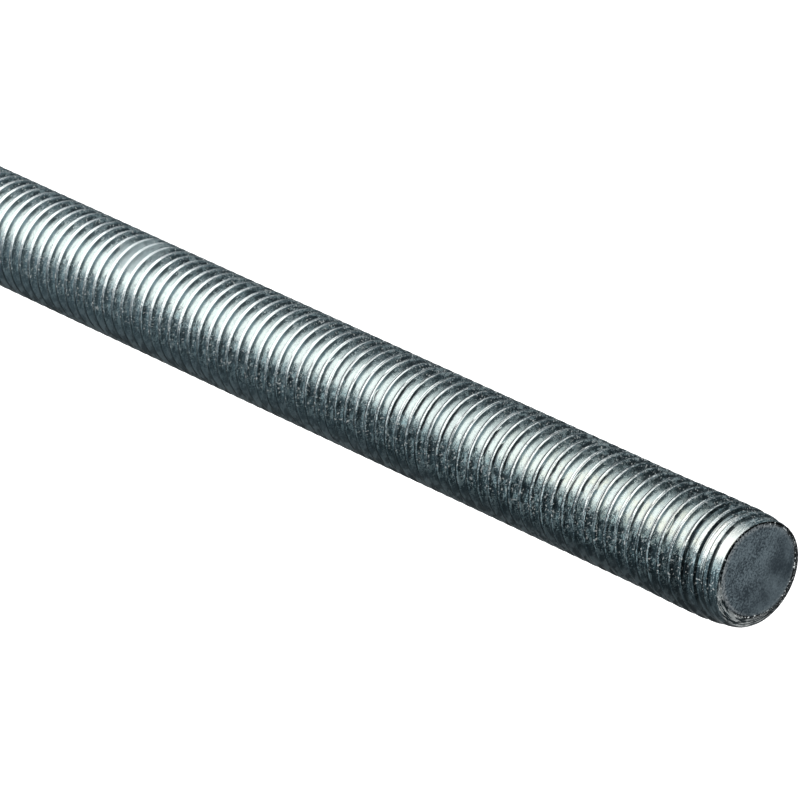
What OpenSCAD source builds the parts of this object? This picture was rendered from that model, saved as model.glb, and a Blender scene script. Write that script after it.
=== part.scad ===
// Fully threaded steel rod, 3/4-10 UNC by twelve inches, chamfered at both ends.
// It stands on its lower end: the middle of that end is the origin, and +Z runs up the axis.
// All sizes are in millimetres.

/* [Rod] */
// Length between the two end faces
rod_length = 304.8; // [50:0.1:1000]
// Diameter over the thread crests
major_d = 19.05; // [10:0.05:40]

/* [Thread] */
// Distance from one crest to the next along the rod
pitch = 2.54; // [1:0.01:3.5]
// Angle between the two flanks of a groove
flank_angle = 60; // [45:1:75]
// Flat on each crest, as a share of the pitch
crest_share = 0.125; // [0.05:0.005:0.2]
// Radius at the bottom of each groove, as a share of the pitch
root_share = 0.144; // [0.05:0.001:0.16]

/* [Ends] */
// How far the end chamfer cuts in below the crests
chamfer_depth = 1.8; // [0.3:0.01:3]
// Angle of the end chamfer, measured from the rod's axis
chamfer_angle = 60; // [20:1:70]

/* [Hidden] */
$fn = 96;

major_r = major_d / 2;
mid_height = rod_length / 2;

// One groove: its mouth, and the round that both of its flanks run into
half_angle = flank_angle / 2;
mouth = pitch * (1 - crest_share);
root_r = pitch * root_share;
sharp_depth = mouth / 2 / tan(half_angle);
root_centre_r = major_r - sharp_depth + root_r / sin(half_angle);
root_sweep = 90 - half_angle;
root_steps = 4;

// Turns cut above and below the middle: the last one runs off the end
turns = ceil(mid_height / pitch) + 1;

// How far the chamfer's cutting line is drawn beyond the crests
overshoot = 1;

// Round bottom of the groove at height z, from its lower flank to its upper flank
function root_arc(z) = [
    for (step = [0:root_steps])
        let (a = root_sweep * (2 * step / root_steps - 1))
            [root_centre_r - root_r * cos(a), z + root_r * sin(a)]
];

// Groove at height z, from its lower lip to its upper lip
function groove(z) = concat(
    [[major_r, z - mouth / 2]],
    root_arc(z),
    [[major_r, z + mouth / 2]]
);

// Half section of a thread that runs on past both ends: radius first, then height
module thread_section() {
    bottom = mid_height - (turns + 1) * pitch;
    top = mid_height + (turns + 1) * pitch;
    polygon(concat(
        [[0, bottom], [major_r, bottom]],
        [for (turn = [-turns:turns - 1]) each groove(mid_height + (turn + 0.5) * pitch)],
        [[major_r, top], [0, top]]
    ));
}

// Half section of the bar cut to length and chamfered, standing proud of the crests
module bar_section() {
    face_r = major_r - chamfer_depth;
    proud_r = major_r + overshoot;
    rise = (proud_r - face_r) / tan(chamfer_angle);
    polygon([
        [0, 0], [face_r, 0], [proud_r, rise],
        [proud_r, rod_length - rise], [face_r, rod_length], [0, rod_length]
    ]);
}

// Each turn is a closed ring with the true section and spacing of the thread:
// the slight slant of its helix, one pitch in a turn, is left off.
module threaded_rod() {
    color("lightsteelblue")
        rotate_extrude()
            intersection() {
                thread_section();
                bar_section();
            }
}

threaded_rod();
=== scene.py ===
"""Looks of a zinc-plated threaded rod that stands on its end.

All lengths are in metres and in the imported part's frame. Inside a material, places are in millimetres.
"""

import math

import bpy
import numpy as np
from mathutils import Matrix, Vector


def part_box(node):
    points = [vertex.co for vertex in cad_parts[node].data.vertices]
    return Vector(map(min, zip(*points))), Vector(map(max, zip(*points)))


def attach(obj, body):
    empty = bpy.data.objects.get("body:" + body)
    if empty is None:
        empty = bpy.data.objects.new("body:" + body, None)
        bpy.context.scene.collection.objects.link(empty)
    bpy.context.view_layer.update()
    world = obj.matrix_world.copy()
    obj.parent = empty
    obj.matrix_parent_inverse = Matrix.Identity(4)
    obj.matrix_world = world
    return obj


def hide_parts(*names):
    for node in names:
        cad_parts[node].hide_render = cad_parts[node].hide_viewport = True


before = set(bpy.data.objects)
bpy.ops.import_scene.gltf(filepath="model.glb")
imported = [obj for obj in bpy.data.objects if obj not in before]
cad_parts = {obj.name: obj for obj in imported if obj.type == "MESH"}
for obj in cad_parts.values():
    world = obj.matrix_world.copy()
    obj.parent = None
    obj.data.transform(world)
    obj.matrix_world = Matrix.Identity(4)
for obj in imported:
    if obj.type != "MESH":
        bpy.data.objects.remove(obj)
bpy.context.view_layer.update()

MM = 0.001

# The thread: 3/4-10 UNC, with the crests and roots that rolling leaves
ROD_LOW, ROD_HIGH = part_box("threaded_rod")
CREST_R = 9.525 * MM
PITCH = 2.54 * MM
HALF_FLANK = math.radians(30)
CREST_FLAT = 0.59 * MM
CREST_ROUND = 0.07 * MM
ROOT_R = 0.144 * PITCH
THREAD_START = ROD_HIGH.z - 23.38 * MM
SEGMENTS = 56

# Along the body the crests stand slightly lower; they grow to full size between these distances from an end
BODY_CREST_R = 9.33 * MM
END_SWELL = (11 * MM, 24 * MM)

# The lower end: a square cut inside a plain chamfer, whose angle is from the axis
CHAMFER_DEPTH = 1.8 * MM
CHAMFER_ANGLE = math.radians(60)

# The last turns of the upper end are squeezed inwards, drawn out along the rod, and have shallower grooves.
# A pair gives the value at the start of the last turns and then at the cut.
TAPER_LENGTH = 8.5 * MM
TAPER_DROP = 0.85 * MM
TAPER_POWER = 2.4
TAPER_ASIDE = Vector((-0.18, 0.08)) * MM
STRETCH_LENGTH = 10.0 * MM
STRETCH = 0.80 * MM
GROOVE_FADE = (8.5 * MM, 0.5 * MM)
GROOVE_DEPTH = (1.60 * MM, 0.26 * MM)
GROOVE_POWER = 2.1
GROOVE_SOFT = 0.05 * MM

# The cut face of the upper end sits off centre inside a flat chamfer
FACE_R = 7.7 * MM
FACE_CENTRE = Vector((-0.82, -0.5)) * MM
FACE_ANGLE = math.radians(60)

# How far the solid that cuts the bar to length stands out beyond the crests
CUTTER_PROUD = 1.5 * MM

# Colours, as light reflected
ZINC_BRIGHT = (0.89, 0.945, 0.93, 1)
ZINC_WARM = (0.915, 0.94, 0.885, 1)
# dull zinc darkened as painted shade, near the upper end and further along
ZINC_DULL_SHADED_NEAR = (0.21, 0.25, 0.265, 1)
ZINC_DULL_SHADED_FAR = (0.41, 0.46, 0.48, 1)
ZINC_UNDER = (0.24, 0.23, 0.23, 1)
ZINC_UNDER_PALE = (0.62, 0.60, 0.60, 1)
ZINC_BACK = (0.90, 0.92, 0.91, 1)
# pale zinc of specks and lines, also used for painted glints
ZINC_PALE_AND_GLINT = (0.95, 0.97, 0.95, 1)
# dark of pits, also used as painted shade
ZINC_PIT_AND_SHADE = (0.07, 0.075, 0.08, 1)
# dark of the seams, also used for painted shade lines
SEAM_AND_SHADE_LINE = (0.03, 0.04, 0.045, 1)
SMEAR = (0.84, 0.90, 0.90, 1)
CHAMFER_DARK = (0.12, 0.14, 0.15, 1)
FACE_DARK = (0.022, 0.032, 0.040, 1)
FACE_PALE = (0.108, 0.140, 0.158, 1)
# pale grained ring inside the face's rim, brighter on one side as a painted highlight
FACE_RIM_AND_SHEEN = (0.20, 0.22, 0.23, 1)
CARD_TINT = (0.64, 0.90, 1.0)
BACK_TINT = (0.84, 0.95, 1.0)
# near black, for burrs and the chamfer's far side
NEAR_BLACK = (0.008, 0.009, 0.01, 1)
BURR_PALE = (0.62, 0.66, 0.66, 1)

# Where the marks and the painted light and shade on the zinc lie. A side is in degrees round the rod, from 0
# at the camera's side, and is positive towards the top of the picture. A phase is a share of one turn, from
# the middle of a crest up to the next. A distance is in millimetres below the upper end. Each row gives
# where a mark begins, where it is full, where it starts to go and where it is gone.
SEAM_PHASE = (0.885, 0.915, 0.955, 0.985)
HAIRLINE_PHASE = (0.005, 0.02, 0.045, 0.065)
CREST_SHADE_PHASE = (0.115, 0.14, 0.20, 0.235)
CREST_SHADE_SIDE = (-22.0, -4.0, 20.0, 42.0)
LAST_PHASE = (0.09, 0.12, 0.21, 0.27)
GROOVE_PHASE = (0.15, 0.22, 0.36, 0.46)
GROOVE_SHADE_SIDE = (-34.0, -26.0, -18.0, -12.0)
SHADED_SIDE = (-125.0, -98.0, -72.0, -45.0)
END_SHADE_SIDE = (-120.0, -95.0, -24.0, -8.0)

# Single fades: where a mark is absent, then where it is full, in the same units
LINES_LENGTH = (112.0, 80.0)
SEAM_LENGTH = (125.0, 85.0)
LAST_LENGTH = (9.5, 8.5)
# the edges of the lit side's painted highlight band
LIT_BAND_LOW_SIDE = (-20.0, 0.0)
LIT_BAND_HIGH_SIDE = (53.0, 35.0)
FRONT_SIDE = (125.0, 98.0)
NEAR_LENGTH = (150.0, 10.0)
BURR_LENGTH = (0.34, 0.20)

# The pale smear: its middle and its half size, as a side in degrees and a distance in millimetres
SMEAR_MIDDLE = (45.0, 151.0)
SMEAR_SIZE = (34.0, 5.0)

# The stain on the cut face, in millimetres from the middle of that face
STAIN_MIDDLE = (-3.8, 4.2)

# The camera: it looks down on the upper end, turned so that the rod lies across the picture
VIEW_ELEVATION = math.radians(44.96)
VIEW_ROLL = math.radians(114.75)
VIEW_DISTANCE = 1.30044
AIM_BELOW_TOP = 0.08729
AIM_ASIDE = 0.001558
SENSOR = 36.0
LENS = 360.6

# The studio: a round floor with a curved foot to its wall, and cards that stand round the rod
FLOOR_R = 8.0
FLOOR_WALL = 1.6
FLOOR_BEND = 0.8
FLOOR_GLOW = 0.75
CARD_R = 0.36
CARD_LOW = 0.001
CARD_HIGH = 0.55
LAMP_AIM = Vector((0, 0, 0.2))


def lathe_point(radius, turn, height):
    return (radius * math.cos(turn), radius * math.sin(turn), height)


def turn_heights():
    """Heights of the points that follow one turn of the thread, from the middle of one crest to the next."""
    steepest = math.pi / 2 - HALF_FLANK
    half = [0.0, CREST_FLAT / 2]
    half += [CREST_FLAT / 2 + CREST_ROUND * math.sin(bend) for bend in (steepest / 2, steepest)]
    # one point on the flank, nearer to the crest than to the root
    root_start = PITCH / 2 - ROOT_R * math.cos(HALF_FLANK)
    half.append(half[-1] + (root_start - half[-1]) * 0.35)
    half += [PITCH / 2 - ROOT_R * math.sin(bend) for bend in (steepest, steepest / 2, 0)]
    return half + [PITCH - height for height in reversed(half[1:-1])]


def thread_depth(height):
    """How far the surface lies below the crest at a height within one pitch, with the true arcs."""
    h = np.minimum(height % PITCH, PITCH - height % PITCH)
    crest_h = CREST_FLAT / 2 + CREST_ROUND * math.cos(HALF_FLANK)
    root_h = PITCH / 2 - ROOT_R * math.cos(HALF_FLANK)
    crest_d = CREST_ROUND * (1 - math.sin(HALF_FLANK))
    root_d = crest_d + (root_h - crest_h) / math.tan(HALF_FLANK)
    past_flat = np.maximum(h - CREST_FLAT / 2, 0)
    crest_arc = CREST_ROUND - np.sqrt(np.maximum(CREST_ROUND ** 2 - past_flat ** 2, 0))
    flank = crest_d + (h - crest_h) / math.tan(HALF_FLANK)
    from_root = PITCH / 2 - h
    root_arc = root_d - ROOT_R * math.sin(HALF_FLANK) + np.sqrt(np.maximum(ROOT_R ** 2 - from_root ** 2, 0))
    return np.where(h < crest_h, crest_arc, np.where(h < root_h, flank, root_arc))


def crest_radius(height, angle):
    """The crests stand full size near the ends, lower along the body, and fall away at the upper end."""
    away = np.minimum(height - ROD_LOW.z, ROD_HIGH.z - height)
    t = np.clip((away - END_SWELL[0]) / (END_SWELL[1] - END_SWELL[0]), 0, 1)
    radius = CREST_R + (BODY_CREST_R - CREST_R) * t * t * (3 - 2 * t)
    squeeze = np.clip(1 - (ROD_HIGH.z - height) / TAPER_LENGTH, 0, 1.3)
    radius = radius - TAPER_DROP * squeeze ** TAPER_POWER
    return radius + squeeze * (TAPER_ASIDE.x * np.cos(angle) + TAPER_ASIDE.y * np.sin(angle))


def drawn_out(height):
    """Where a point of the even thread ends up: the last turns are drawn out towards the upper end."""
    return height + STRETCH * np.clip(1 - (ROD_HIGH.z - height) / STRETCH_LENGTH, 0, 2) ** 2


def surface_radius(height, angle):
    """The radius of the thread's surface, whose grooves grow shallow and wide in the last turns."""
    samples = 6000
    even = np.linspace(ROD_LOW.z - 2 * PITCH, ROD_HIGH.z + 2 * PITCH, samples)
    before = np.interp(height, drawn_out(even), even)
    climb = ((angle + math.pi / 2) / (2 * math.pi)) * PITCH
    depth = thread_depth(before - THREAD_START - climb)
    below = np.clip((ROD_HIGH.z - height - GROOVE_FADE[1]) / (GROOVE_FADE[0] - GROOVE_FADE[1]), 0, 1)
    limit = GROOVE_DEPTH[1] + (GROOVE_DEPTH[0] - GROOVE_DEPTH[1]) * below ** GROOVE_POWER
    # a soft minimum of the two depths, which keeps the crest at no depth
    soft = GROOVE_SOFT
    both = np.exp(-depth / soft) + np.exp(-limit / soft)
    depth = -soft * np.log(both) + soft * np.log1p(np.exp(-limit / soft))
    return crest_radius(height, angle) - depth


def rolled_bar():
    """A closed bar with a right-hand thread that runs on past both ends of the rod."""
    heights = np.array(turn_heights())
    low, high = ROD_LOW.z - PITCH / 2, ROD_HIGH.z + PITCH / 2
    steps = len(heights)
    col = np.arange(SEGMENTS)
    # column 0 is on the camera's side, and the thread climbs to its right as seen from outside
    angle = 2 * math.pi * col / SEGMENTS - math.pi / 2
    climb = col / SEGMENTS * PITCH
    # whole turns from below the bar to above it, with a turn or two to spare at each end
    start = THREAD_START - PITCH * math.ceil((THREAD_START - low) / PITCH + 1.5)
    turns = int(math.ceil((high - start) / PITCH)) + 2
    row = np.arange(turns * steps + 1)
    z = drawn_out(start + climb[None, :] + (row // steps)[:, None] * PITCH + heights[row % steps][:, None])
    r = surface_radius(z, angle[None, :])

    verts, index = [], np.zeros(z.shape, int)
    rings = {}
    for name, height in (("low", low), ("high", high)):
        radius = surface_radius(height, angle)
        rings[name] = len(verts) + col
        verts += [lathe_point(radius[j], angle[j], height) for j in col]
    for i in row:
        for j in col:
            if z[i, j] <= low:
                index[i, j] = rings["low"][j]
            elif z[i, j] >= high:
                index[i, j] = rings["high"][j]
            else:
                index[i, j] = len(verts)
                verts.append(lathe_point(r[i, j], angle[j], z[i, j]))
    faces = []
    for i in range(len(row) - 1):
        for j in range(SEGMENTS):
            wrap = j == SEGMENTS - 1
            right, up = (0, steps) if wrap else (j + 1, 0)
            if i + 1 + up >= len(row):
                continue
            corners = [index[i, j], index[i + up, right], index[i + 1 + up, right], index[i + 1, j]]
            kept = [c for k, c in enumerate(corners) if c != corners[k - 1]]
            if len(set(kept)) >= 3:
                faces.append([int(c) for c in kept])
    faces.append([int(v) for v in rings["low"][::-1]])
    faces.append([int(v) for v in rings["high"]])
    mesh = bpy.data.meshes.new("rolled_bar")
    mesh.from_pydata(verts, [], faces)
    mesh.validate()
    return bpy.data.objects.new("rolled_bar", mesh)


def end_cutter():
    """The solid that is left of a plain bar when both its ends are cut and chamfered."""
    low_r = CREST_R - CHAMFER_DEPTH
    proud_r = CREST_R + CUTTER_PROUD
    low_rise = (proud_r - low_r) / math.tan(CHAMFER_ANGLE)
    high_rise = (proud_r - FACE_R) / math.tan(FACE_ANGLE)
    lean_rise = 5 * high_rise
    # rings as (radius, height, share of the way from the rod's axis to the middle of the cut face)
    outline = [
        (low_r, ROD_LOW.z, 0),
        (proud_r, ROD_LOW.z + low_rise, 0),
        (proud_r, ROD_HIGH.z - lean_rise, 0),
        (proud_r, ROD_HIGH.z - high_rise, 1),
        (FACE_R, ROD_HIGH.z, 1),
    ]
    sides = 128
    verts = []
    for radius, height, aside in outline:
        for k in range(sides):
            x, y, z = lathe_point(radius, 2 * math.pi * k / sides, height)
            verts.append((x + FACE_CENTRE.x * aside, y + FACE_CENTRE.y * aside, z))
    faces = []
    for ring in range(len(outline) - 1):
        for k in range(sides):
            a, b = ring * sides + k, ring * sides + (k + 1) % sides
            faces.append((a, b, b + sides, a + sides))
    faces.append(tuple(range(sides - 1, -1, -1)))
    faces.append(tuple(range((len(outline) - 1) * sides, len(outline) * sides)))
    mesh = bpy.data.meshes.new("end_cutter")
    mesh.from_pydata(verts, [], faces)
    # the sides leave chamfers behind, and the two caps leave the cut ends
    for face in mesh.polygons:
        face.material_index = 1 if len(face.vertices) == 4 else 2
    return bpy.data.objects.new("end_cutter", mesh)


def cut_to_length(bar, cutter, materials):
    """The part of the bar that lies inside the cutter, as a clean mesh object."""
    for obj in (bar, cutter):
        bpy.context.scene.collection.objects.link(obj)
        for material in materials:
            obj.data.materials.append(material)
    step = bar.modifiers.new("cut", "BOOLEAN")
    step.operation = "INTERSECT"
    step.solver = "MANIFOLD"
    step.object = cutter
    bpy.context.view_layer.update()
    made = bpy.data.meshes.new_from_object(bar.evaluated_get(bpy.context.evaluated_depsgraph_get()))
    for obj in (bar, cutter):
        bpy.data.objects.remove(obj)
    rod = bpy.data.objects.new("rod", made)
    bpy.context.scene.collection.objects.link(rod)
    return rod


def thread_normals(points):
    """The true directions of the thread's surface at these points."""
    angle = np.arctan2(points[:, 1], points[:, 0])
    height = points[:, 2]
    up = 0.004 * MM
    aside = 0.001
    radius = surface_radius(height, angle)
    rise = (surface_radius(height + up, angle) - surface_radius(height - up, angle)) / (2 * up)
    turn = (surface_radius(height, angle + aside) - surface_radius(height, angle - aside)) / (2 * aside)
    out = np.stack([np.cos(angle), np.sin(angle), 0 * angle], 1)
    around = np.stack([-np.sin(angle), np.cos(angle), 0 * angle], 1)
    normal = out - rise[:, None] * np.array([[0, 0, 1]]) - (turn / radius)[:, None] * around
    return normal / np.linalg.norm(normal, axis=1)[:, None]


def set_normals(mesh):
    """Thread faces take the thread's own directions, and the chamfers and cut ends keep their flat ones."""
    points = np.zeros(len(mesh.vertices) * 3)
    mesh.vertices.foreach_get("co", points)
    points = points.reshape(-1, 3)
    corner_vert = np.zeros(len(mesh.loops), int)
    mesh.loops.foreach_get("vertex_index", corner_vert)
    normals = thread_normals(points)[corner_vert]
    for face in mesh.polygons:
        face.use_smooth = True
        if face.material_index:
            normals[face.loop_start:face.loop_start + face.loop_total] = face.normal
    mesh.normals_split_custom_set([tuple(n) for n in normals])


class Recipe:
    """A material under construction: short spellings for the node tree."""

    def __init__(self, name):
        self.mat = bpy.data.materials.new(name)
        self.mat.use_nodes = True
        self.tree = self.mat.node_tree
        self.shader = self.tree.nodes["Principled BSDF"]
        place = self.node("ShaderNodeVectorMath", operation="SCALE")
        self.give(place.inputs[0], self.node("ShaderNodeTexCoord").outputs["Object"])
        self.give(place.inputs["Scale"], 1000.0)
        self.place = place.outputs[0]
        parts = self.node("ShaderNodeSeparateXYZ")
        self.give(parts.inputs[0], self.place)
        self.x, self.y, self.z = parts.outputs

    def node(self, kind, **settings):
        made = self.tree.nodes.new(kind)
        for key, value in settings.items():
            setattr(made, key, value)
        return made

    def give(self, socket, value):
        if isinstance(value, bpy.types.NodeSocket):
            self.tree.links.new(value, socket)
        else:
            socket.default_value = value

    def calc(self, operation, *values):
        made = self.node("ShaderNodeMath", operation=operation)
        for socket, value in zip(made.inputs, values):
            self.give(socket, value)
        return made.outputs[0]

    def gather(self, operation, values):
        made = values[0]
        for value in values[1:]:
            made = self.calc(operation, made, value)
        return made

    def plus(self, *values):
        return self.gather("ADD", values)

    def times(self, *values):
        return self.gather("MULTIPLY", values)

    def most(self, *values):
        return self.gather("MAXIMUM", values)

    def less(self, value, taken):
        return self.calc("SUBTRACT", value, taken)

    def flip(self, value):
        return self.times(value, -1.0)

    def squares(self, *values):
        return self.plus(*[self.times(value, value) for value in values])

    def sway(self, value, noise, width):
        """The value, moved to and fro by a noise over this width."""
        return self.plus(value, self.times(self.less(noise, 0.5), width))

    def fade(self, value, start, end, low=0.0, high=1.0):
        """Goes smoothly from low at start to high at end."""
        made = self.node("ShaderNodeMapRange", interpolation_type="SMOOTHSTEP")
        for socket, given in zip(made.inputs, (value, start, end, low, high)):
            self.give(socket, given)
        return made.outputs["Result"]

    def band(self, value, stops):
        """Rises between the first two stops and falls between the last two."""
        begins, full, going, gone = stops
        return self.times(self.fade(value, begins, full), self.fade(value, gone, going))

    def spread(self, across, along):
        """The place in millimetres, scaled by one factor across the rod and another along it."""
        made = self.node("ShaderNodeVectorMath", operation="MULTIPLY")
        self.give(made.inputs[0], self.place)
        self.give(made.inputs[1], (across, across, along))
        return made.outputs[0]

    def join(self, x, y, z):
        made = self.node("ShaderNodeCombineXYZ")
        for socket, value in zip(made.inputs, (x, y, z)):
            self.give(socket, value)
        return made.outputs[0]

    def noise(self, where, scale=1.0, detail=2.0, roughness=0.5):
        made = self.node("ShaderNodeTexNoise")
        self.give(made.inputs["Vector"], where)
        self.give(made.inputs["Scale"], scale)
        self.give(made.inputs["Detail"], detail)
        self.give(made.inputs["Roughness"], roughness)
        return made.outputs["Fac"]

    def blend(self, amount, first, second):
        made = self.node("ShaderNodeMix", data_type="RGBA")
        # the sockets for colours come after those for numbers and vectors
        for index, given in ((0, amount), (6, first), (7, second)):
            self.give(made.inputs[index], given)
        return made.outputs[2]

    def bump(self, height, distance, under=None):
        made = self.node("ShaderNodeBump")
        self.give(made.inputs["Height"], height)
        self.give(made.inputs["Distance"], distance)
        self.give(made.inputs["Strength"], 1.0)
        if under:
            self.give(made.inputs["Normal"], under)
        return made.outputs[0]

    def coat(self, colour, metallic, roughness, relief):
        self.give(self.shader.inputs["Base Color"], colour)
        self.give(self.shader.inputs["Metallic"], metallic)
        self.give(self.shader.inputs["Roughness"], roughness)
        self.give(self.shader.inputs["Normal"], relief)
        return self.mat


class ZincRecipe(Recipe):
    """The zinc's recipe, with the places and patterns that its marks share."""

    def __init__(self):
        super().__init__("zinc_plate")
        self.below = self.less(ROD_HIGH.z / MM, self.z)
        turned = self.calc("ARCTAN2", self.flip(self.x), self.flip(self.y))
        self.side = self.times(turned, 180 / math.pi)
        self.phase = self.thread_phase()
        self.find_patterns()
        self.lined = self.fade(self.below, *LINES_LENGTH)
        self.near = self.fade(self.below, *NEAR_LENGTH)
        self.front = self.fade(self.calc("ABSOLUTE", self.side), *FRONT_SIDE)
        self.crest = self.most(self.fade(self.phase, 0.90, 0.95), self.fade(self.phase, 0.14, 0.09))
        lower_side = self.fade(self.side, -60.0, -42.0, low=0.35)
        self.gritty = self.times(lower_side, self.plus(self.times(self.front, 0.8), 0.2))

    def thread_phase(self):
        """How far a point is along its turn of the thread, with the drawn-out turns put back."""
        pulled = 0.0
        # two rounds come close enough to undoing the stretch
        for _ in range(2):
            share = self.calc("DIVIDE", self.plus(self.below, pulled), STRETCH_LENGTH / MM)
            share = self.most(self.less(1.0, share), 0.0)
            pulled = self.times(share, share, STRETCH / MM)
        even = self.less(self.z, pulled)
        turns = self.calc("DIVIDE", self.less(even, THREAD_START / MM), PITCH / MM)
        angle = self.calc("ARCTAN2", self.y, self.x)
        turns = self.less(turns, self.calc("DIVIDE", angle, 2 * math.pi))
        # the thread starts on the camera's side, a quarter turn from where the angle is 0
        return self.calc("FRACT", self.less(turns, 0.25))

    def find_patterns(self):
        """The noises, from fine to coarse; those that are closer along the rod look drawn round it."""
        grain = self.noise(self.place, scale=4.4, detail=1.0, roughness=0.6)
        brushed = self.noise(self.spread(0.9, 4.2), detail=1.0, roughness=0.6)
        self.uneven = self.plus(self.times(grain, 0.50), self.times(brushed, 0.50))
        self.glint = self.fade(self.noise(self.place, scale=2.9, detail=0.0), 0.70, 0.72)
        self.streaks = self.noise(self.spread(0.50, 1.9), detail=2.0, roughness=0.6)
        self.mottle = self.noise(self.place, scale=0.45, detail=3.0, roughness=0.6)
        self.wander = self.noise(self.spread(0.16, 0.60), detail=1.0)
        self.patchy = self.noise(self.spread(0.10, 0.45))


def dark_lines(do):
    """Dark lines along the thread: patchy seams on and beside the crests, a painted shade line beside the
    crests on the lit side, and wide painted shade above the last ones.
    """
    swayed = do.sway(do.phase, do.wander, 0.14)
    seam = do.times(do.band(swayed, SEAM_PHASE), do.fade(do.patchy, 0.41, 0.49))
    seam = do.times(seam, do.fade(do.below, *SEAM_LENGTH), do.fade(do.below, 6.0, 7.5))
    hairline = do.times(do.band(swayed, HAIRLINE_PHASE), do.fade(do.patchy, 0.50, 0.44))
    hairline = do.times(hairline, do.lined, do.fade(do.below, 8.0, 11.0), 0.7)
    # a painted shade line beside the crests on the lit side
    ragged = do.sway(do.phase, do.streaks, -0.10)
    crest_shade = do.times(do.band(ragged, CREST_SHADE_PHASE), do.fade(do.wander, 0.52, 0.57))
    crest_shade = do.times(crest_shade, do.band(do.side, CREST_SHADE_SIDE))
    crest_shade = do.times(crest_shade, do.lined, do.fade(do.below, 8.0, 40.0, low=0.7, high=0.9))
    # painted shade in the grooves above the last crests
    last = do.times(do.band(do.phase, LAST_PHASE), do.fade(do.below, *LAST_LENGTH))
    last = do.times(last, do.fade(do.side, 75.0, 40.0, low=0.45, high=0.92), do.fade(do.side, -48.0, -22.0))
    last = do.times(last, do.fade(do.streaks, 0.35, 0.50, low=0.6))
    return do.most(seam, hairline, crest_shade, last)


def lit_and_clean_side(do):
    """Where the zinc is lit and unworn: fully on the lit side as a painted highlight, with ragged edges, and
    less on the scuffed crests.
    """
    ragged = do.sway(do.side, do.mottle, 18.0)
    ragged = do.sway(ragged, do.streaks, 26.0)
    ragged = do.sway(ragged, do.uneven, 60.0)
    scuffed = do.times(do.crest, do.lined)
    from_low = do.less(ragged, do.times(scuffed, 5.0))
    from_high = do.plus(ragged, do.times(do.crest, do.fade(do.below, 60.0, 35.0), 9.0))
    lit_and_clean = do.times(do.fade(from_low, *LIT_BAND_LOW_SIDE), do.fade(from_high, *LIT_BAND_HIGH_SIDE))
    return do.times(lit_and_clean, do.less(1.0, do.times(scuffed, do.fade(do.streaks, 0.46, 0.62), 0.5)))


def bright_zinc(do):
    """The colour of the lit side, bright zinc as a painted highlight: slightly warmer in places near the
    upper end, and faintly grained.
    """
    warm = do.times(do.fade(do.mottle, 0.46, 0.56), do.fade(do.below, 70.0, 25.0))
    bright = do.blend(warm, ZINC_BRIGHT, ZINC_WARM)
    return do.blend(do.times(do.fade(do.uneven, 0.475, 0.44), 0.25), bright, ZINC_DULL_SHADED_FAR)


def dull_and_shaded_zinc(do):
    """The colour of the other sides, dull zinc painted darker as shade towards the camera: darker near the
    upper end, with bright specks, pits and shade below.
    """
    # painted shade: the sides towards the camera take darker zinc than the back, darkest near the upper end
    dull = do.blend(do.front, ZINC_BACK, do.blend(do.near, ZINC_DULL_SHADED_FAR, ZINC_DULL_SHADED_NEAR))
    lumps = do.plus(do.times(do.uneven, 0.7), do.times(do.streaks, 0.3))
    specks = do.times(do.fade(lumps, 0.515, 0.54), do.gritty, do.fade(do.near, 0.0, 1.0, low=0.6))
    dull = do.blend(specks, dull, ZINC_PALE_AND_GLINT)
    pitted = do.times(do.fade(do.uneven, 0.475, 0.45), do.gritty)
    pitted = do.times(pitted, do.fade(do.below, 180.0, 110.0, low=0.2, high=0.5))
    dull = do.blend(pitted, dull, ZINC_PIT_AND_SHADE)
    # painted shade on the lower side of the last turns of the upper end
    under = do.times(do.band(do.side, END_SHADE_SIDE), do.fade(do.below, 16.0, 4.0), 0.72)
    dull = do.blend(under, dull, ZINC_PIT_AND_SHADE)
    shade = do.blend(do.fade(do.streaks, 0.42, 0.58), ZINC_UNDER, ZINC_UNDER_PALE)
    dull = do.blend(do.times(do.band(do.side, SHADED_SIDE), 0.8), dull, shade)
    # painted shade in the grooves
    return do.blend(groove_shade(do), dull, ZINC_PIT_AND_SHADE)


def groove_shade(do):
    """Painted shade in the grooves on both edges of the lit side."""
    low = do.times(do.band(do.side, GROOVE_SHADE_SIDE), do.fade(do.below, 155.0, 130.0), 0.6)
    high = do.times(do.fade(do.side, 42.0, 52.0), do.front, 0.75)
    return do.times(do.band(do.phase, GROOVE_PHASE), do.most(high, low), do.fade(do.streaks, 0.62, 0.47))


def pale_smear(do):
    """A pale smear across a few turns of the thread."""
    around = do.calc("DIVIDE", do.less(do.side, SMEAR_MIDDLE[0]), SMEAR_SIZE[0])
    along = do.calc("DIVIDE", do.less(do.below, SMEAR_MIDDLE[1]), SMEAR_SIZE[1])
    apart = do.sway(do.squares(around, along), do.mottle, 1.6)
    return do.times(do.fade(apart, 1.3, 0.2), do.fade(do.streaks, 0.35, 0.60, low=0.7))


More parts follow.
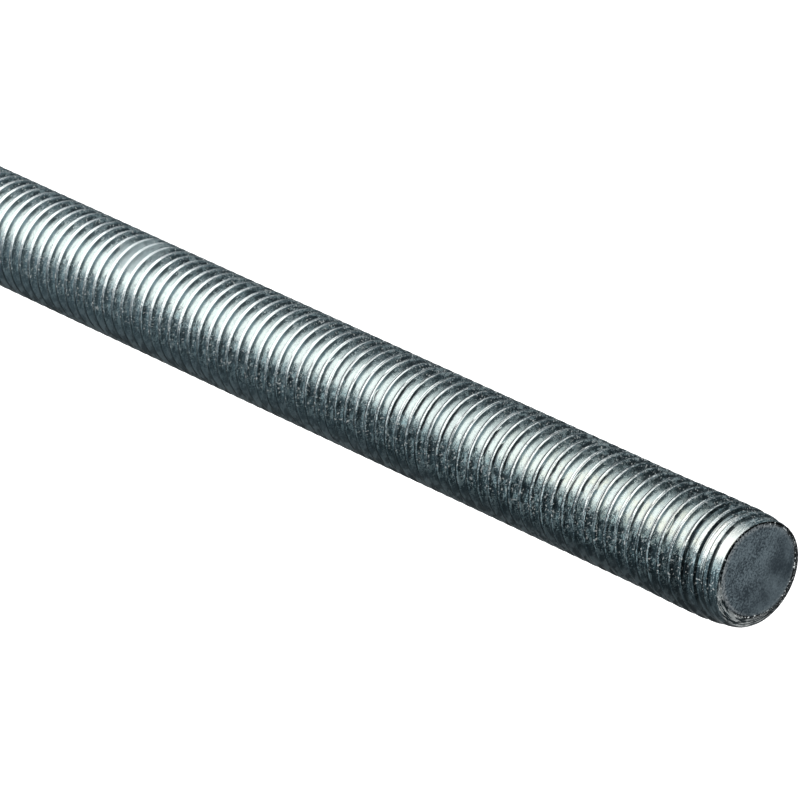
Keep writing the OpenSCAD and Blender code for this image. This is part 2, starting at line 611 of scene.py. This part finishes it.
def zinc_material():
    """Zinc plate on rolled steel, with what wear has left on it, and with painted light and shade: a bright
    lit side, darker sides, dark grooves and lines, and glints.
    """
    do = ZincRecipe()
    lit_and_clean = lit_and_clean_side(do)
    lines = dark_lines(do)
    smear = pale_smear(do)
    # painted glints: pale matt specks on the lower dull side
    painted_glints = do.times(do.glint, do.gritty, do.fade(do.side, -50.0, -36.0), do.less(1.0, lit_and_clean))

    # the lit side takes bright zinc as a painted highlight, the other sides dull zinc with painted shade
    colour = do.blend(lit_and_clean, do.blend(painted_glints, dull_and_shaded_zinc(do), ZINC_PALE_AND_GLINT), bright_zinc(do))
    # dark seams, and painted shade lines beside the crests and above the last ones
    colour = do.blend(lines, colour, SEAM_AND_SHADE_LINE)
    colour = do.blend(do.fade(do.below, *BURR_LENGTH), colour, NEAR_BLACK)
    colour = do.blend(smear, colour, SMEAR)
    matt = do.plus(do.times(smear, 0.15), do.times(painted_glints, 0.75), do.times(do.less(1.0, do.front), 0.22))
    rough = do.sway(do.fade(lit_and_clean, 0.0, 1.0, low=0.30, high=0.20), do.streaks, 0.15)
    rough = do.plus(rough, do.times(smear, 0.28))
    grit = do.times(do.uneven, do.gritty, do.fade(lit_and_clean, 0.0, 1.0, low=1.0, high=0.10))
    relief = do.bump(grit, 0.045 * MM)
    relief = do.bump(do.flip(lines), 0.08 * MM, under=relief)
    return do.coat(colour, do.less(1.0, matt), rough, relief)


def from_face_middle(do):
    """The place across the rod from the middle of the cut face, and the distance from there."""
    from_x = do.less(do.x, FACE_CENTRE.x / MM)
    from_y = do.less(do.y, FACE_CENTRE.y / MM)
    return from_x, from_y, do.calc("SQRT", do.squares(from_x, from_y))


def chamfer_material():
    """The turned edge of the cut: zinc with lines round it, black beside the face and over its far side, and
    bright burrs.
    """
    do = Recipe("cut_edge")
    from_x, _, out = from_face_middle(do)
    turned = do.join(do.times(do.x, 0.30), do.times(do.y, 0.30), do.times(out, 4.2))
    lines = do.noise(turned, roughness=0.6)
    pale_lines = do.fade(lines, 0.49, 0.56)
    crumbs = do.fade(do.noise(do.place, scale=2.4, detail=1.0), 0.54, 0.62)
    between = do.less(1.0, crumbs)

    colour = do.blend(pale_lines, CHAMFER_DARK, ZINC_PALE_AND_GLINT)
    beside = do.times(do.fade(out, FACE_R / MM + 0.42, FACE_R / MM + 0.2), between)
    beside = do.times(beside, do.fade(from_x, 2.0, 5.5, low=1.0, high=0.2))
    colour = do.blend(beside, colour, NEAR_BLACK)
    # the far side of the chamfer is made almost black
    far_side = do.times(do.fade(do.less(do.x, do.y), 1.0, -5.0), between, 0.9)
    colour = do.blend(far_side, colour, NEAR_BLACK)
    pale = do.times(pale_lines, do.fade(from_x, 1.0, 5.0), 0.18)
    matt = do.most(do.times(crumbs, 0.4), pale)
    rough = do.fade(lines, 0.4, 0.6, low=0.5, high=0.25)
    relief = do.bump(do.plus(lines, do.times(crumbs, 0.5)), 0.14 * MM)
    return do.coat(colour, do.less(1.0, matt), rough, relief)


def face_material():
    """The sawn face: dull grey-blue with a fine mottled grain, painted light that makes it lighter towards
    one side, a stain, a pale ring inside its rim with a painted highlight on one side, and a rough burr
    round its rim.
    """
    do = Recipe("cut_face")
    from_x, from_y, out = from_face_middle(do)
    grain = do.noise(do.place, scale=2.9, roughness=0.6)
    mottle = do.noise(do.place, scale=0.30)

    coarse = do.times(do.less(grain, 0.5), do.fade(from_y, 4.0, -3.0, low=0.35, high=1.15))
    # painted light: the face grows lighter towards one side
    painted_light_slope = do.plus(do.times(from_x, -0.006), do.times(from_y, -0.004), 0.243)
    apart = do.squares(do.less(from_x, STAIN_MIDDLE[0]), do.less(from_y, STAIN_MIDDLE[1]))
    stain = do.times(do.fade(apart, 22.0, 3.0), -0.10)
    tone = do.plus(coarse, do.times(mottle, 0.5), painted_light_slope, stain)
    colour = do.blend(do.fade(tone, 0.30, 0.70), FACE_DARK, FACE_PALE)

    # a pale grained ring inside the rim, brighter on one side as a painted highlight
    rim = do.times(do.fade(out, FACE_R / MM - 0.9, FACE_R / MM - 0.4), do.fade(grain, 0.35, 0.60))
    rim = do.times(rim, do.fade(from_y, 3.0, -4.0, low=0.3, high=0.9))
    colour = do.blend(rim, colour, FACE_RIM_AND_SHEEN)
    crumbs = do.fade(do.noise(do.place, scale=2.4, detail=1.0), 0.60, 0.66)
    burr = do.fade(do.sway(out, grain, 0.5), FACE_R / MM - 0.34, FACE_R / MM - 0.20)
    burr = do.times(burr, do.fade(from_y, -5.0, 1.0, low=0.2), do.fade(mottle, 0.60, 0.50, low=0.5))
    colour = do.blend(burr, colour, do.blend(crumbs, NEAR_BLACK, BURR_PALE))
    do.give(do.shader.inputs["Specular IOR Level"], 0.15)
    return do.coat(colour, 0.0, 0.75, do.bump(grain, 0.04 * MM))


def make_rod():
    materials = (zinc_material(), chamfer_material(), face_material())
    rod = cut_to_length(rolled_bar(), end_cutter(), materials)
    set_normals(rod.data)
    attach(rod, "root")
    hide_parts("threaded_rod")


def floor_mesh():
    """A round floor whose edge bends up into a low wall."""
    rings = [(0.0, 0.0), (FLOOR_R - FLOOR_BEND, 0.0)]
    bend_steps = 8
    for k in range(1, bend_steps + 1):
        a = math.radians(90 * k / bend_steps)
        rings.append((FLOOR_R - FLOOR_BEND + FLOOR_BEND * math.sin(a), FLOOR_BEND * (1 - math.cos(a))))
    rings.append((FLOOR_R, FLOOR_WALL))
    sides = 96
    verts = [(0, 0, 0)]
    for r, z in rings[1:]:
        verts += [lathe_point(r, 2 * math.pi * k / sides, z) for k in range(sides)]
    faces = [(0, 1 + k, 1 + (k + 1) % sides) for k in range(sides)]
    for ring in range(len(rings) - 2):
        for k in range(sides):
            a, b = 1 + ring * sides + k, 1 + ring * sides + (k + 1) % sides
            faces.append((a, a + sides, b + sides, b))
    mesh = bpy.data.meshes.new("studio_floor")
    mesh.from_pydata(verts, [], faces)
    for face in mesh.polygons:
        face.use_smooth = True
    return mesh


def floor_material():
    """White floor that glows where the camera, a reflection or clear glass would show it."""
    mat = bpy.data.materials.new("studio_white")
    mat.use_nodes = True
    nodes, links = mat.node_tree.nodes, mat.node_tree.links
    shader = nodes["Principled BSDF"]
    shader.inputs["Base Color"].default_value = (0.8, 0.8, 0.8, 1)
    shader.inputs["Roughness"].default_value = 0.9
    shader.inputs["Specular IOR Level"].default_value = 0.0
    shader.inputs["Emission Color"].default_value = (1, 1, 1, 1)
    path = nodes.new("ShaderNodeLightPath")
    shown = path.outputs["Is Camera Ray"]
    for name in ("Is Glossy Ray", "Is Transmission Ray"):
        either = nodes.new("ShaderNodeMath")
        either.operation = "MAXIMUM"
        links.new(shown, either.inputs[0])
        links.new(path.outputs[name], either.inputs[1])
        shown = either.outputs[0]
    glow = nodes.new("ShaderNodeMath")
    glow.operation = "MULTIPLY"
    glow.inputs[1].default_value = FLOOR_GLOW
    links.new(shown, glow.inputs[0])
    links.new(glow.outputs[0], shader.inputs["Emission Strength"])
    return mat


def make_stage():
    mesh = floor_mesh()
    mesh.materials.append(floor_material())
    floor = bpy.data.objects.new("studio_floor", mesh)
    bpy.context.scene.collection.objects.link(floor)


def softbox(name, direction, distance, width, depth, radiance):
    """A lamp that lights dull surfaces and doesn't show in bright ones."""
    data = bpy.data.lights.new(name, "AREA")
    data.shape = "RECTANGLE"
    data.size, data.size_y = width, depth
    data.energy = radiance * math.pi * width * depth
    lamp = bpy.data.objects.new(name, data)
    bpy.context.scene.collection.objects.link(lamp)
    away = Vector(direction).normalized()
    lamp.location = LAMP_AIM + away * distance
    lamp.rotation_mode = "QUATERNION"
    lamp.rotation_quaternion = away.to_track_quat("Z", "Y")
    lamp.visible_camera = False
    lamp.visible_glossy = False


def make_lights():
    world = bpy.data.worlds.new("studio")
    world.use_nodes = True
    world.node_tree.nodes["Background"].inputs[0].default_value = (0.5, 0.5, 0.5, 1)
    bpy.context.scene.world = world
    softbox("key", direction=(0.0, 0.57, 0.82), distance=1.3, width=0.6, depth=0.5, radiance=12.0)


def card_material():
    """Dull card: its tone and how much of it there is come from the card's own colours."""
    mat = bpy.data.materials.new("studio_card")
    mat.use_nodes = True
    nodes, links = mat.node_tree.nodes, mat.node_tree.links
    nodes.clear()
    tone = nodes.new("ShaderNodeVertexColor")
    tone.layer_name = "tone"
    glow = nodes.new("ShaderNodeEmission")
    clear = nodes.new("ShaderNodeBsdfTransparent")
    mix = nodes.new("ShaderNodeMixShader")
    out = nodes.new("ShaderNodeOutputMaterial")
    links.new(tone.outputs["Color"], glow.inputs["Color"])
    links.new(tone.outputs["Alpha"], mix.inputs[0])
    links.new(clear.outputs[0], mix.inputs[1])
    links.new(glow.outputs[0], mix.inputs[2])
    links.new(mix.outputs[0], out.inputs[0])
    return mat


def studio_card(name, outline, stops, material):
    """A card swept right round the rod, that only its reflections show.

    The outline's points give (radius, height, gain). The stops give (bearing, how solid, brightness), where
    bearing 0 is the camera's side and bearings grow as the sides of the marks do.
    """
    steps = 144
    bearings = np.linspace(-180, 180, steps + 1)
    solid = np.interp(bearings, [stop[0] for stop in stops], [stop[1] for stop in stops])
    bright = np.interp(bearings, [stop[0] for stop in stops], [stop[2] for stop in stops])
    # the tint turns from the front's to the back's between these bearings
    behind = np.interp(np.abs(bearings), (110, 160), (0, 1))
    verts, faces, tones = [], [], []
    for bearing, alpha, level, share in zip(np.radians(bearings), solid, bright, behind):
        tint = [front + (back - front) * share for front, back in zip(CARD_TINT, BACK_TINT)]
        for r, z, gain in outline:
            verts.append((-r * math.sin(bearing), -r * math.cos(bearing), z))
            tones.append(tuple(part * level * gain for part in tint) + (alpha,))
    n = len(outline)
    for k in range(steps):
        for i in range(n - 1):
            a = k * n + i
            faces.append((a, a + 1, a + 1 + n, a + n))
    mesh = bpy.data.meshes.new(name)
    mesh.from_pydata(verts, [], faces)
    layer = mesh.color_attributes.new("tone", "FLOAT_COLOR", "POINT")
    layer.data.foreach_set("color", np.array(tones).ravel())
    mesh.materials.append(material)
    card = bpy.data.objects.new(name, mesh)
    bpy.context.scene.collection.objects.link(card)
    card.visible_camera = False
    card.visible_diffuse = False
    card.visible_shadow = False
    card.visible_transmission = False


def make_cards():
    """Dull cards round the rod, open towards the front, as a studio uses on bright metal."""
    material = card_material()
    floor_stops = [
        (-180, 1, 0.035), (-168, 1, 0.035), (-160, 0.85, 0.1), (-152, 0.85, 0.1), (-144, 1, 0.05),
        (-75, 1, 0.05), (-44, 0.97, 0.14), (-8, 0.0, 0.3), (78, 0.0, 0.3), (122, 1, 0.22), (180, 1, 0.035),
    ]
    wall_stops = [
        (-180, 1, 0.10), (-168, 1, 0.10), (-160, 0.85, 0.15), (-145, 0.85, 0.15), (-135, 1, 0.10),
        (-104, 1, 0.18), (-78, 1, 0.30), (-54, 1, 0.52), (-36, 1, 0.74), (-13, 0.97, 0.50), (5, 0, 0.4),
        (36, 0.0, 0.3), (62, 0.62, 0.3), (80, 0.9, 0.3), (112, 1, 0.26), (150, 1, 0.2), (180, 1, 0.10),
    ]
    ceiling_stops = [
        (-180, 1, 0.08), (-110, 1, 0.06), (-60, 1, 0.065), (0, 1, 0.06), (18, 1, 0.15), (38, 1, 0.34),
        (56, 1, 0.34), (75, 1, 0.06), (100, 1, 0.06), (125, 1, 0.12), (180, 1, 0.08),
    ]
    floor = [(0.012, CARD_LOW, 1), (CARD_R, CARD_LOW, 1)]
    wall = [(CARD_R, CARD_LOW, 1.2), (CARD_R, 0.2, 1), (CARD_R, CARD_HIGH, 1)]
    ceiling = [(CARD_R, CARD_HIGH, 1), (0.17, CARD_HIGH, 1), (0.10, CARD_HIGH, 0.8), (0.001, CARD_HIGH, 0.8)]
    studio_card("floor_card", floor, floor_stops, material)
    studio_card("wall_card", wall, wall_stops, material)
    studio_card("ceiling_card", ceiling, ceiling_stops, material)


def make_camera():
    data = bpy.data.cameras.new("camera")
    data.sensor_width, data.lens = SENSOR, LENS
    data.clip_start, data.clip_end = 0.05, 50
    camera = bpy.data.objects.new("camera", data)
    bpy.context.scene.collection.objects.link(camera)
    back = Vector((0, -math.cos(VIEW_ELEVATION), math.sin(VIEW_ELEVATION)))
    aim = Vector((-AIM_ASIDE, 0, ROD_HIGH.z - AIM_BELOW_TOP))
    level = (-back).to_track_quat("-Z", "Y").to_matrix()
    turned = level @ Matrix.Rotation(VIEW_ROLL, 3, "Z")
    camera.matrix_world = Matrix.Translation(aim + back * VIEW_DISTANCE) @ turned.to_4x4()
    bpy.context.scene.camera = camera


bpy.context.scene.view_settings.view_transform = "Standard"
make_camera()
make_lights()
make_stage()
make_cards()
make_rod()
